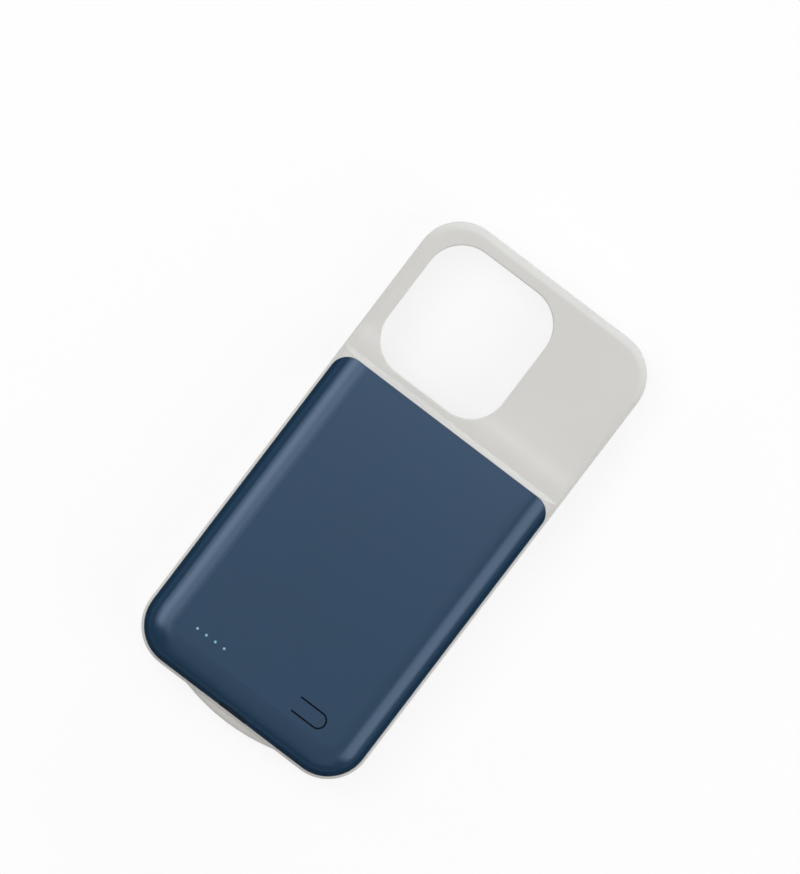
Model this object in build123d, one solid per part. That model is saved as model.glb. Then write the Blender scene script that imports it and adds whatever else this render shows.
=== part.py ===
from math import cos, radians, sin
import os

from build123d import *

os.makedirs("parts", exist_ok=True)

# Bay that takes the device
bay_width = 71.0
bay_length = 147.0
bay_depth = 8.5
bay_corner_r = 10.7
bay_ceiling_r = 1.2

# Moulded frame
side_wall = 2.3
top_wall = 2.3
bottom_wall = 2.9
back_wall = 1.6
floor_wall = 1.2
lip_depth = 1.2
lip_reach = 1.2
back_edge_r = 2.6
rim_r = 1.0

# Bulge behind the plug
chin_half = 15.5
chin_out = 2.0
chin_height = 8.4
chin_blend_r = 8.0
chin_top_r = 2.0

# Camera opening, measured from the edges of the back
window_width = 40.4
window_length = 41.7
window_r = 11.1
window_from_side = 5.2
window_from_top = 5.4
window_edge_r = 0.4

# Button and sound slots, measured from the top edge and from the middle
slot_height = 5.0
slot_flare = 0.8
key_slot_length = 12.0
key_slot_from_top = 29.0
rocker_slot_length = 28.0
rocker_slot_from_top = 53.0
power_slot_length = 24.0
power_slot_from_top = 50.0
sound_slot_length = 12.0
sound_slot_height = 2.2
sound_slot_x = 22.5

# Battery cover
cover_from_top = 51.0
cover_inset = 0.8
cover_wall = 1.3
cover_head_r = 5.5
hump_side_r = 6.0
hump_crown_r = 12.0
hump_side_turn = 60.0
seam_rise = 0.5
seam_gap = 0.06
plate_gap = 0.1

# Raised band at the head of the cover
crest_flat = 0.15
crest_r = 0.4
foot_r = 0.3
band_slope = 78.0
step_flat = 2.7
step_slope = 8.0
step_r = 24.0
step_back = 22.0

# Cell, its tape and its protection board
cell_depth = 4.7
cell_swell_gap = 0.4
cell_side_gap = 5.3
cell_edge_r = 1.6
cell_end_gap = 0.6
tape_depth = 0.2
tape_inset = 2.5
guard_width = 24.0
guard_length = 3.2
guard_depth = 0.8
guard_gap = 0.3
tab_width = 3.0
tab_depth = 0.1
tab_spacing = 14.0

# Main board and the stakes that it sits on
board_length = 17.0
board_depth = 0.8
board_lift = 0.8
board_front_gap = 0.5
board_side_gap = 0.9
board_back_gap = 1.5
stake_inset = 3.0
stake_r = 1.5
stake_pin_r = 0.7
stake_gap = 0.1

# Charging socket
socket_width = 8.94
socket_height = 3.26
socket_sheet = 0.3
socket_length = 7.35
socket_lift = 0.1
socket_recess = 1.5
socket_cut_gap = 0.27
socket_board_gap = 0.12
socket_base = 1.9
socket_tongue_width = 6.7
socket_tongue_depth = 0.7
socket_tongue_recess = 0.6
socket_lug = 1.1
socket_fit = 0.02

# Indicator lights
light_count = 4
light_pitch = 3.12
lights_from_side = 20.4
control_from_bottom = 14.3
light_chip_width = 1.6
light_chip_length = 0.8
light_chip_depth = 0.5
guide_pin_r = 0.45
guide_gap = 0.05
guide_bar_length = 2.4
guide_bar_depth = 1.2
guide_bar_end = 1.6
guide_clear = 0.1

# Push tongue and its switch
tongue_from_side = 25.2
tongue_run = 7.7
tongue_half = 2.07
tongue_slot = 0.5
tongue_web = 0.5
tongue_groove = 1.2
tongue_root_gap = 0.04
nub_reach = 6.9
nub_r = 0.8
nub_gap = 0.05
switch_width = 3.6
switch_length = 3.2
switch_depth = 1.0
plunger_r = 0.8
plunger_out = 0.7
plunger_in = 0.5
plunger_gap = 0.05
plunger_sink = 0.3

# Other parts on the main board
coil_size = 5.0
coil_depth = 2.0
coil_corner_r = 1.0
coil_y = 11.6
chip_size = 4.0
chip_depth = 0.85
chip_x = -6.5
chip_y = 12.6
capacitor_width = 2.0
capacitor_length = 1.25
capacitor_depth = 1.0
capacitor_pitch = 2.2
capacitor_x = 6.0
capacitor_y = 11.2

# Leads between the protection board and the main board
lead_r = 0.5
lead_lap = 1.9
lead_bend_r = 2.0
lead_gap = 0.02
lead_spacing = 4.0
lead_x = -1.0

# Plug in the bottom of the bay
plug_width = 8.25
plug_height = 2.4
plug_sheet = 0.3
plug_reach = 6.2
plug_fit = 0.05
plug_stub = 0.6
plug_block_width = 8.8
plug_block_height = 2.8
plug_block_length = 2.5
plug_block_gap = 0.1
plug_board_width = 25.0
plug_board_height = 4.8
plug_board_depth = 0.8
retainer_width = 27.0
retainer_height = 5.9
retainer_depth = 0.45
retainer_r = 1.0
pocket_gap = 0.1

# Flat cable from the main board to the plug
flex_width = 5.4
flex_depth = 0.2
flex_x = 9.0
flex_lap = 3.0
flex_drop = 1.2
flex_bend_r = 0.5
flex_gap = 0.05
flex_slot_gap = 0.3

# Screws that hold the cover
screw_r = 0.7
screw_length = 4.7
screw_head_r = 1.3
screw_head_depth = 0.6
screw_sink = 0.1
screw_gap = 0.1
boss_r = 1.9
boss_bore_gap = 0.05
boss_bore_spare = 0.4
boss_from_side = 8.8
boss_from_bottom = 9.5
boss_end_gap = 0.2

# Heights and lengths that follow from the sizes above
case_width = bay_width + 2 * side_wall
case_length = bay_length + top_wall + bottom_wall
case_y = chin_out / 2
y_bottom = case_y - case_length / 2
y_top = case_y + case_length / 2
y_wall = y_bottom + bottom_wall
bay_y = y_wall + bay_length / 2
corner_r = bay_corner_r + side_wall
z_mid = lip_depth + bay_depth / 2
z_ceiling = lip_depth + bay_depth
z_back = z_ceiling + back_wall
z_seam = z_ceiling + seam_rise
z_floor = z_ceiling + floor_wall
z_tape = z_floor + tape_depth
z_inside = z_tape + cell_depth + cell_swell_gap
z_top = z_inside + cover_wall
z_board = z_floor + board_lift
z_deck = z_board + board_depth
z_socket = z_floor + socket_lift + socket_height / 2
cover_half = case_width / 2 - cover_inset
cover_start = y_bottom + cover_inset
cover_end = y_top - cover_from_top
cover_foot_r = corner_r - cover_inset
hump_lean = radians(hump_side_turn)
hump_width = hump_side_r * (1 - cos(hump_lean)) + hump_crown_r * cos(hump_lean)
hump_height = hump_side_r * sin(hump_lean) + hump_crown_r * (1 - sin(hump_lean))
y_control = y_bottom + control_from_bottom
light_x = lights_from_side - case_width / 2
tongue_x = case_width / 2 - tongue_from_side
boss_x = case_width / 2 - boss_from_side
boss_low = y_bottom + boss_from_bottom
boss_high = cover_end - cover_wall - boss_end_gap - boss_r
board_half = boss_x - boss_r - board_side_gap
board_front = y_wall + board_front_gap
board_back = board_front + board_length
guard_front = board_back + board_back_gap
cell_front = guard_front + guard_length + guard_gap
cell_back = boss_high - boss_r - cell_end_gap
cell_half = cover_half - cover_wall - cell_side_gap


def slab(plan, low, high):
    return extrude(Pos(0, 0, low) * plan, amount=high - low)


def block(x0, x1, y0, y1, z0, z1):
    return slab(Pos((x0 + x1) / 2, (y0 + y1) / 2) * Rectangle(x1 - x0, y1 - y0), z0, z1)


def post(x, y, radius, low, high):
    return slab(Pos(x, y) * Circle(radius), low, high)


def along_y(sketch, x, z, y0, y1):
    end = Plane((x, y1, z), x_dir=(1, 0, 0), z_dir=(0, -1, 0))
    return extrude(end * sketch, amount=y1 - y0)


def pill(width, height):
    return SlotOverall(width, height)


def save(name, shape):
    shape.label = name
    export_step(shape, f"parts/{name}.step")


def cover_plan(inset):
    low = cover_start + inset
    high = cover_end - inset
    plan = Pos(0, (low + high) / 2) * Rectangle(2 * (cover_half - inset), high - low)
    plan = fillet(plan.vertices().group_by(Axis.Y)[0], cover_foot_r - inset)
    return fillet(plan.vertices().group_by(Axis.Y)[-1], cover_head_r - inset)


def hump(inset, high):
    low = cover_start + inset
    half = cover_half - inset
    turn_r = cover_foot_r - inset
    plan = Pos(0, (low + high) / 2) * Rectangle(2 * half, high - low)
    plan = fillet(plan.vertices().group_by(Axis.Y)[0], turn_r)
    side = JernArc((half, z_top - hump_height), (0, 1), hump_side_r - inset, hump_side_turn)
    crown = JernArc(side @ 1, side % 1, hump_crown_r - inset, 90 - hump_side_turn)
    spare = Polyline(crown @ 1, ((crown @ 1).X, z_top + 1), (half + 1, z_top + 1), (half + 1, (side @ 0).Y),
                     side @ 0)
    section = make_face(Curve() + [side, crown, spare])
    at_turn = Plane((0, low + turn_r, 0), x_dir=(1, 0, 0), z_dir=(0, -1, 0)) * section
    at_foot = Plane((half - turn_r, low + half, 0), x_dir=(0, -1, 0), z_dir=(-1, 0, 0)) * section
    cut = extrude(at_turn, amount=low + turn_r - high)
    cut += revolve(at_turn, axis=Axis((half - turn_r, low + turn_r, 0), (0, 0, 1)), revolution_arc=-90)
    cut += extrude(at_foot, amount=half - turn_r)
    return slab(plan, z_seam, z_top - inset) - cut - mirror(cut, about=Plane.YZ)


# Raised band: a rounded crest, a steep face and a hollow foot on a low soft step, drawn as a side profile
z_clear = z_top + hump_height
band_drop = (crest_r + foot_r) * (1 - cos(radians(band_slope)))
step_drop = 2 * step_r * (1 - cos(radians(step_slope)))
face_run = (z_top - z_back - band_drop - step_drop) / sin(radians(band_slope))
crest = JernArc((cover_end + crest_flat, z_top), (1, 0), crest_r, -band_slope)
foot = JernArc(crest @ 1 + face_run * (crest % 1), crest % 1, foot_r, band_slope)
shelf = Line(foot @ 1, foot @ 1 + (step_flat, 0))
swell = JernArc(shelf @ 1, (1, 0), step_r, -step_slope)
hollow = JernArc(swell @ 1, swell % 1, step_r, step_slope)
face = PolarLine(crest @ 1, (z_top - z_ceiling) / sin(radians(band_slope)), direction=crest % 1)
face_top = crest @ 1 - hump_height * (crest % 1)
over = Polyline(face_top, face @ 1, (y_top, (face @ 1).Y), (y_top, face_top.Y), face_top)
band = hump(0, y_top) - extrude(Plane.YZ * make_face(over), amount=case_width, both=True)
band_rim = band.faces().sort_by(Axis.Y)[-1].edges().filter_by(lambda e: e.center().Z > z_seam + 0.01)
band = fillet(band_rim, crest_r)
under = Polyline(foot @ 1, ((foot @ 1).X, z_seam), (cover_end + crest_flat, z_seam),
                 (cover_end + crest_flat, (foot @ 0).Y), foot @ 0)
foot_half = case_width / 2 - back_edge_r
band += extrude(Plane.YZ * make_face(Curve() + [foot, under]), amount=foot_half, both=True)
band -= slab(cover_plan(-seam_gap), 0, z_clear)

# Frame: outer form with the step up to the band and the bulge at the bottom end
outline = Polyline(hollow @ 1, (y_top, z_back), (y_top, 0), (y_bottom, 0), (y_bottom, z_back),
                   (cover_end - step_back, z_back), shelf @ 0)
side_view = make_face(Curve() + [shelf, swell, hollow, outline])
frame = extrude(Plane.YZ * side_view, amount=case_width / 2, both=True)
frame &= slab(Pos(0, case_y) * RectangleRounded(case_width, case_length, corner_r), 0, z_top)
back_rim = frame.edges().filter_by(lambda e: e.center().Z > z_back - 0.01).sort_by(Axis.Y)
side_rims = back_rim[1:-1].filter_by(lambda e: abs(e.center().X) > 0.01)
frame = fillet(back_rim[:1] + side_rims + back_rim[-1:], back_edge_r)
chin_arc = ThreePointArc((-chin_half, y_bottom), (0, y_bottom - chin_out), (chin_half, y_bottom))
chin_plan = make_face(Curve() + [chin_arc, Line(chin_arc @ 1, chin_arc @ 0)])
chin_run = chin_half + chin_blend_r
chin_plan += Pos(0, y_bottom + bottom_wall / 2) * Rectangle(2 * chin_run, bottom_wall)
chin_foot = chin_plan.vertices().filter_by(lambda v: abs(abs(v.X) - chin_half) < 0.01)
chin_plan = fillet(chin_foot, chin_blend_r)
chin = slab(chin_plan, 0, chin_height)
chin_rim = chin.faces().sort_by(Axis.Z)[-1].edges().filter_by(lambda e: e.center().Y < y_bottom + 0.01)
frame += fillet(chin_rim, chin_top_r)
frame = fillet(frame.faces().sort_by(Axis.Z)[0].edges(), rim_r)

# Frame: bay, its mouth and the camera opening
bay = slab(Pos(0, bay_y) * RectangleRounded(bay_width, bay_length, bay_corner_r), lip_depth, z_ceiling)
bay = fillet(bay.faces().sort_by(Axis.Z)[-1].edges(), bay_ceiling_r)
mouth_width = bay_width - 2 * lip_reach
mouth_plan = RectangleRounded(mouth_width, bay_length - 2 * lip_reach, bay_corner_r - lip_reach)
frame -= bay
frame -= slab(Pos(0, bay_y) * mouth_plan, -lip_depth, z_mid)
window_x = window_from_side + window_width / 2 - case_width / 2
window_y = y_top - window_from_top - window_length / 2
window_plan = Pos(window_x, window_y) * RectangleRounded(window_width, window_length, window_r)
frame -= slab(window_plan, z_mid, z_top)
window_rim = frame.edges().filter_by(lambda e: e.center().Z > z_back - 0.01)
window_rim = window_rim.filter_by(lambda e: abs(e.center().X - window_x) < window_width / 2 + 0.01)
window_rim = window_rim.filter_by(lambda e: abs(e.center().Y - window_y) < window_length / 2 + 0.01)
frame = fillet(window_rim, window_edge_r)

# Frame: seat for the cover, floor plate that locates it, and the raised band
frame -= slab(cover_plan(-seam_gap), z_seam, z_top)
frame += slab(cover_plan(cover_wall + plate_gap), z_ceiling, z_floor)
frame += band

# Frame: flared slots for the side buttons and plain ones for the sound
for length, from_top, side in (
    (key_slot_length, key_slot_from_top, 1),
    (rocker_slot_length, rocker_slot_from_top, 1),
    (power_slot_length, power_slot_from_top, -1),
):
    wall = Plane((side * case_width / 2, y_top - from_top, z_mid), x_dir=(0, 1, 0), z_dir=(-side, 0, 0))
    frame -= extrude(wall * pill(length, slot_height), amount=2 * side_wall)
    flare = pill(length + 2 * slot_flare, slot_height + 2 * slot_flare)
    frame -= extrude(wall * flare, amount=slot_flare, taper=45)
for x in (-sound_slot_x, sound_slot_x):
    slot = pill(sound_slot_length, sound_slot_height)
    frame -= along_y(slot, x, z_mid, y_bottom - chin_out, y_wall + lip_reach)

# Frame: pocket for the plug and the way up for its flat cable
y_retainer = y_wall - retainer_depth
flex_front = y_retainer - flex_gap
y_plug_board = flex_front - flex_depth
y_pocket = y_plug_board - plug_board_depth
y_block = y_retainer - flex_gap - plug_block_length
retainer_plan = RectangleRounded(retainer_width, retainer_height, retainer_r)
frame -= along_y(offset(retainer_plan, pocket_gap), 0, z_mid, y_retainer, y_wall)
pocket_plan = Rectangle(plug_board_width + 2 * pocket_gap, plug_board_height + 2 * pocket_gap)
frame -= along_y(pocket_plan, 0, z_mid, y_pocket, y_retainer)
tail_plan = Rectangle(plug_block_width + 2 * plug_block_gap, plug_block_height + 2 * plug_block_gap)
frame -= along_y(tail_plan, 0, z_mid, y_block - plug_block_gap, y_pocket)
flex_half = flex_width / 2 + flex_slot_gap
flex_back = y_plug_board - flex_gap
frame -= block(flex_x - flex_half, flex_x + flex_half, flex_back, flex_front + flex_gap, z_mid, z_floor)

# Frame: stakes for the main board and countersunk holes for the screws
stake_x = board_half - stake_inset
stake_low = board_front + stake_inset
stake_high = board_back - stake_inset
stakes = GridLocations(2 * stake_x, stake_high - stake_low, 2, 2)
stake_y = (stake_low + stake_high) / 2
frame += [Pos(0, stake_y, 0) * place * post(0, 0, stake_r, z_ceiling, z_board) for place in stakes]
frame += [Pos(0, stake_y, 0) * place * post(0, 0, stake_pin_r, z_board, z_deck) for place in stakes]
screws = GridLocations(2 * boss_x, boss_high - boss_low, 2, 2)
screw_y = (boss_low + boss_high) / 2
z_head = z_ceiling + screw_sink
head_cone = Pos(0, 0, z_head + screw_head_depth / 2) * Cone(screw_head_r, screw_r, screw_head_depth)
hole_cone = Pos(0, 0, z_head + screw_head_depth / 2)
hole_cone *= Cone(screw_head_r + screw_gap, screw_r + screw_gap, screw_head_depth)
screw_hole = hole_cone + post(0, 0, screw_head_r + screw_gap, z_mid, z_head)
screw_hole += post(0, 0, screw_r + screw_gap, z_head, z_floor)
frame -= [Pos(0, screw_y, 0) * place * screw_hole for place in screws]
save("case_frame", frame)

# Screws
screw = head_cone + post(0, 0, screw_r, z_head + screw_head_depth, z_head + screw_length)
save("cover_screws", Part() + [Pos(0, screw_y, 0) * place * screw for place in screws])

# Cover: rounded shell with its screw bosses
cover = hump(0, cover_end + hump_width) & slab(cover_plan(0), z_seam, z_top)
cover -= hump(cover_wall, cover_end + hump_width) & slab(cover_plan(cover_wall), z_seam, z_top)
boss = post(0, 0, boss_r, z_floor, z_inside)
bore = post(0, 0, screw_r + boss_bore_gap, z_floor, z_head + screw_length + boss_bore_spare)
cover += [Pos(0, screw_y, 0) * place * boss for place in screws]
cover -= [Pos(0, screw_y, 0) * place * bore for place in screws]

# Cover: socket opening, light holes and the slot round the push tongue
socket_cut = pill(socket_width + 2 * socket_cut_gap, socket_height + 2 * socket_cut_gap)
cover -= along_y(socket_cut, 0, z_socket, y_bottom, cover_start + cover_wall + hump_width)
lights = GridLocations(light_pitch, 0, light_count, 1)
light_hole = post(0, 0, guide_pin_r + guide_gap, z_inside, z_top)
cover -= [Pos(light_x, y_control, 0) * place * light_hole for place in lights]


def tongue_plan(half):
    strip = Pos(tongue_x + tongue_run / 2, y_control) * Rectangle(tongue_run, 2 * half)
    return strip + Pos(tongue_x + tongue_run, y_control) * Circle(half)


cover -= slab(tongue_plan(tongue_half + tongue_slot), z_inside, z_top)
save("battery_cover", cover)

# Push tongue: thinned root, round tip and the nub that presses the switch
z_plunger = z_deck + switch_depth + plunger_out
tongue_low = y_control - tongue_half
tongue_high = y_control + tongue_half
tongue = slab(tongue_plan(tongue_half), z_inside, z_top)
tongue -= block(tongue_x, tongue_x + tongue_root_gap, tongue_low, tongue_high, z_inside, z_top)
tongue -= block(tongue_x, tongue_x + tongue_groove, tongue_low, tongue_high, z_inside, z_top - tongue_web)
nub_x = tongue_x + nub_reach
tongue += post(nub_x, y_control, nub_r, z_plunger + nub_gap, z_inside)
save("button_tongue", tongue)

# Switch under the tongue
z_switch = z_deck + switch_depth
switch = Pos(nub_x, y_control, z_deck + switch_depth / 2) * Box(switch_width, switch_length, switch_depth)
switch -= post(nub_x, y_control, plunger_r + plunger_gap, z_switch - plunger_in - plunger_sink, z_switch)
save("tact_switch_body", switch)
save("tact_switch_plunger", post(nub_x, y_control, plunger_r, z_switch - plunger_in, z_plunger))

# Indicator lights and the clear piece above them
z_light = z_deck + light_chip_depth
light_chip = Pos(light_x, y_control, z_deck + light_chip_depth / 2)
light_chip *= Box(light_chip_width, light_chip_length, light_chip_depth)
save("status_leds", Part() + [place * light_chip for place in lights])
guide_half = light_pitch * (light_count - 1) / 2 + guide_bar_end
guide = block(light_x - guide_half, light_x + guide_half, y_control - guide_bar_length / 2,
              y_control + guide_bar_length / 2, z_inside - guide_bar_depth, z_inside)
guide_pin = post(light_x, y_control, guide_pin_r, z_light + guide_clear, z_top)
guide += [place * guide_pin for place in lights]
save("light_guide", guide)

# Main board, with a notch for the socket and holes for the stakes
board = block(-board_half, board_half, board_front, board_back, z_board, z_deck)
socket_front = cover_start + socket_recess
socket_back = socket_front + socket_length
notch_half = socket_width / 2 + socket_board_gap
board -= block(-notch_half, notch_half, board_front, socket_back + socket_board_gap, z_board, z_deck)
stake_hole = post(0, 0, stake_pin_r + stake_gap, z_board, z_deck)
board -= [Pos(0, stake_y, 0) * place * stake_hole for place in stakes]
save("main_board", board)

# Charging socket: drawn shell with lugs on the board, and its insert
shell = along_y(pill(socket_width, socket_height), 0, z_socket, socket_front, socket_back)
shell -= along_y(pill(socket_width - 2 * socket_sheet, socket_height - 2 * socket_sheet), 0, z_socket,
                 socket_front, socket_back)
for side in (-1, 1):
    for lug_y in (board_front + socket_lug, socket_back - socket_lug):
        lug_x = side * (socket_width / 2 - socket_sheet + socket_lug / 2)
        shell += Pos(lug_x, lug_y, z_deck + socket_sheet / 2) * Box(socket_lug, socket_lug, socket_sheet)
shell -= along_y(pill(socket_width - 2 * socket_sheet, socket_height - 2 * socket_sheet), 0, z_socket,
                 socket_front, socket_back)
save("charge_port_shell", shell)
insert_width = socket_width - 2 * socket_sheet - 2 * socket_fit
insert_height = socket_height - 2 * socket_sheet - 2 * socket_fit
insert = along_y(pill(insert_width, insert_height), 0, z_socket, socket_back - socket_base, socket_back)
insert += along_y(Rectangle(socket_tongue_width, socket_tongue_depth), 0, z_socket,
                  socket_front + socket_tongue_recess, socket_back - socket_base)
save("charge_port_insert", insert)

# Parts on the main board
coil = slab(Pos(0, board_front + coil_y) * RectangleRounded(coil_size, coil_size, coil_corner_r),
            z_deck, z_deck + coil_depth)
save("boost_inductor", coil)
chip = Pos(chip_x, board_front + chip_y, z_deck + chip_depth / 2) * Box(chip_size, chip_size, chip_depth)
save("controller_chip", chip)
capacitor = Pos(capacitor_x, board_front + capacitor_y, z_deck + capacitor_depth / 2)
capacitor *= Box(capacitor_width, capacitor_length, capacitor_depth)
save("board_capacitors", Part() + [place * capacitor for place in GridLocations(0, capacitor_pitch, 1, 3)])

# Cell on its tape, with the protection board and the tabs at its front end
tape_half = cell_half - tape_inset
save("cell_tape", block(-tape_half, tape_half, guard_front, cell_back - tape_inset, z_floor, z_tape))
cell = block(-cell_half, cell_half, cell_front, cell_back, z_tape, z_tape + cell_depth)
cell = fillet(cell.edges().filter_by(Axis.Y), cell_edge_r)
save("battery_cell", cell)
z_guard = z_tape + guard_depth
guard_back = guard_front + guard_length
save("protection_board", block(-guard_width / 2, guard_width / 2, guard_front, guard_back, z_tape, z_guard))
tab_front = guard_front + guard_length / 2
tab = block(-tab_width / 2, tab_width / 2, tab_front, cell_front, z_guard, z_guard + tab_depth)
save("cell_tabs", Part() + [place * tab for place in GridLocations(tab_spacing, 0, 2, 1)])

# Leads from the protection board up onto the main board
for name, side in (("lead_positive", 1), ("lead_negative", -1)):
    x = lead_x + side * lead_spacing / 2
    low = z_guard + lead_gap + lead_r
    high = z_deck + lead_gap + lead_r
    route = FilletPolyline((x, guard_front + lead_lap, low), (x, guard_front, low), (x, board_back, high),
                           (x, board_back - lead_lap, high), radius=lead_bend_r)
    save(name, sweep(Plane(route @ 0, z_dir=route % 0) * Circle(lead_r), path=route))

# Plug that enters the device
plug_hole = pill(plug_width + 2 * plug_fit, plug_height + 2 * plug_fit)
save("plug_retainer", along_y(retainer_plan - plug_hole, 0, z_mid, y_retainer, y_wall))
plug_base = y_retainer - flex_gap
plug = along_y(pill(plug_width, plug_height), 0, z_mid, plug_base, y_wall + plug_reach)
plug -= along_y(pill(plug_width - 2 * plug_sheet, plug_height - 2 * plug_sheet), 0, z_mid, plug_base,
                y_wall + plug_reach)
save("plug_shell", plug)
stub_width = plug_width - 2 * plug_sheet - 2 * socket_fit
stub_height = plug_height - 2 * plug_sheet - 2 * socket_fit
holder = along_y(Rectangle(plug_block_width, plug_block_height), 0, z_mid, y_block, plug_base)
holder += along_y(pill(stub_width, stub_height), 0, z_mid, plug_base, plug_base + plug_stub)
save("plug_insert", holder)
plug_board = along_y(Rectangle(plug_board_width, plug_board_height), 0, z_mid, y_pocket, y_plug_board)
plug_board -= along_y(tail_plan, 0, z_mid, y_pocket, y_plug_board)
save("plug_board", plug_board)

# Flat cable from the plug's board up under the main board
flex_y = y_plug_board + flex_depth / 2
flex_z = z_board - flex_depth / 2
flex_path = FilletPolyline((flex_y, z_mid - flex_drop), (flex_y, flex_z), (board_front + flex_lap, flex_z),
                           radius=flex_bend_r)
flex = extrude(Plane.YZ * trace(flex_path, flex_depth), amount=flex_width)
save("flex_cable", Pos(flex_x - flex_width / 2, 0, 0) * flex)
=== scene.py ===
import math

import bmesh
import bpy
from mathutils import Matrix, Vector


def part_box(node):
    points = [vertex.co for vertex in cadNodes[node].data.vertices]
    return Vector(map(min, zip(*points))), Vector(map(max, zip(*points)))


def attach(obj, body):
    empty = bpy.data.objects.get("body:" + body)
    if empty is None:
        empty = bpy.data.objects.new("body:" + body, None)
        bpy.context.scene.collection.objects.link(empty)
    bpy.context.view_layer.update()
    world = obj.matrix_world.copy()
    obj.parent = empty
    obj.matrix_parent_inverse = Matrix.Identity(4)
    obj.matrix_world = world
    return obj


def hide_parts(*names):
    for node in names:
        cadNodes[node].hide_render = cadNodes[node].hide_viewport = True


scene = bpy.context.scene
scene.view_settings.view_transform = "Standard"
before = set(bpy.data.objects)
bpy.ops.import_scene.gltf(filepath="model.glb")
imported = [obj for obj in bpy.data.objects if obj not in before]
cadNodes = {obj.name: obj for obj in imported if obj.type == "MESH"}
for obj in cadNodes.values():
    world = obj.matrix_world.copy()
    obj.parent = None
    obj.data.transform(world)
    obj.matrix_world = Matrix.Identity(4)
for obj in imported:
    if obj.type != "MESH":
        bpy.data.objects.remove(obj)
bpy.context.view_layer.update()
print("frame loaded,", len(cadNodes), "nodes")

black = (0.0, 0.0, 0.0, 1.0)
white = (1.0, 1.0, 1.0, 1.0)


def middleOf(node, level=0.5):
    # middle of a solid's box in plan; level 0 is its foot and 1 its top
    low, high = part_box(node)
    spot = (low + high) / 2
    spot.z = low.z + level * (high.z - low.z)
    return spot


# Shader groups: what several finishes share

def startGroup(name, inputs, outputs):
    tree = bpy.data.node_groups.new(name, "ShaderNodeTree")
    for label, kind, value in inputs:
        tree.interface.new_socket(label, in_out="INPUT", socket_type=kind).default_value = value
    for label, kind in outputs:
        tree.interface.new_socket(label, in_out="OUTPUT", socket_type=kind)
    return tree, tree.nodes.new("NodeGroupInput"), tree.nodes.new("NodeGroupOutput")


def addNode(tree, kind, values=None, **settings):
    node = tree.nodes.new(kind)
    for key, value in settings.items():
        setattr(node, key, value)
    for key, value in (values or {}).items():
        node.inputs[key].default_value = value
    return node


def mixColours(tree, first=black, second=black):
    # gives the sockets of the share, the two colours and the result
    node = addNode(tree, "ShaderNodeMix", data_type="RGBA")
    share, low, high, result = node.inputs[0], node.inputs[6], node.inputs[7], node.outputs[2]
    low.default_value, high.default_value = first, second
    return share, low, high, result


def mixValues(tree, second=0.0):
    # the same for two plain values
    node = addNode(tree, "ShaderNodeMix")
    share, low, high, result = node.inputs[0], node.inputs[2], node.inputs[3], node.outputs[0]
    high.default_value = second
    return share, low, high, result


def wire(tree, *pairs):
    for source, target in pairs:
        tree.links.new(source, target)


skinNoise = {
    "flow": {"Detail": 3.0, "Roughness": 0.55},
    "grain": {"Detail": 2.0, "Roughness": 0.6},
    "spread": {"From Min": 0.3, "From Max": 0.7},  # most of the noise lies between these
}


def mouldedSkinGroup():
    # moulded surface: slow drift of shade and gloss, with a fine spark-eroded grain
    tree, given, out = startGroup(
        "mouldedSkin",
        [
            ("Colour", "NodeSocketColor", (0.5, 0.5, 0.5, 1.0)),
            ("Drift", "NodeSocketFloat", 0.03),
            ("Gloss", "NodeSocketFloat", 0.4),
            ("Gloss Drift", "NodeSocketFloat", 0.06),
            ("Grain Scale", "NodeSocketFloat", 2600.0),
            ("Flow Scale", "NodeSocketFloat", 45.0),
        ],
        [("Colour", "NodeSocketColor"), ("Roughness", "NodeSocketFloat"), ("Height", "NodeSocketFloat")],
    )
    where = addNode(tree, "ShaderNodeTexCoord")
    flow = addNode(tree, "ShaderNodeTexNoise", skinNoise["flow"])
    grain = addNode(tree, "ShaderNodeTexNoise", skinNoise["grain"])
    lowShade = addNode(tree, "ShaderNodeMath", {0: 1.0}, operation="SUBTRACT")
    highShade = addNode(tree, "ShaderNodeMath", {0: 1.0}, operation="ADD")
    shade = addNode(tree, "ShaderNodeMapRange", skinNoise["spread"])
    tint = addNode(tree, "ShaderNodeHueSaturation")
    lowGloss = addNode(tree, "ShaderNodeMath", operation="SUBTRACT")
    highGloss = addNode(tree, "ShaderNodeMath", operation="ADD")
    gloss = addNode(tree, "ShaderNodeMapRange", skinNoise["spread"])
    wire(
        tree,
        (where.outputs["Object"], flow.inputs["Vector"]),
        (where.outputs["Object"], grain.inputs["Vector"]),
        (given.outputs["Flow Scale"], flow.inputs["Scale"]),
        (given.outputs["Grain Scale"], grain.inputs["Scale"]),
        (given.outputs["Drift"], lowShade.inputs[1]),
        (given.outputs["Drift"], highShade.inputs[1]),
        (flow.outputs["Fac"], shade.inputs["Value"]),
        (lowShade.outputs[0], shade.inputs["To Min"]),
        (highShade.outputs[0], shade.inputs["To Max"]),
        (given.outputs["Colour"], tint.inputs["Color"]),
        (shade.outputs["Result"], tint.inputs["Value"]),
        (given.outputs["Gloss"], lowGloss.inputs[0]),
        (given.outputs["Gloss Drift"], lowGloss.inputs[1]),
        (given.outputs["Gloss"], highGloss.inputs[0]),
        (given.outputs["Gloss Drift"], highGloss.inputs[1]),
        (grain.outputs["Fac"], gloss.inputs["Value"]),
        (lowGloss.outputs[0], gloss.inputs["To Min"]),
        (highGloss.outputs[0], gloss.inputs["To Max"]),
        (tint.outputs["Color"], out.inputs["Colour"]),
        (gloss.outputs["Result"], out.inputs["Roughness"]),
        (grain.outputs["Fac"], out.inputs["Height"]),
    )
    return tree


metalNoise = {
    "lines": {"Scale": 1.0, "Detail": 3.0, "Roughness": 0.6},
    "cloud": {"Scale": 700.0, "Detail": 4.0, "Roughness": 0.6},
    "stain": {"From Min": 0.52, "From Max": 0.75, "To Max": 0.7},
    "lineGloss": 0.16,  # roughness that the lines add
}


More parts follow.
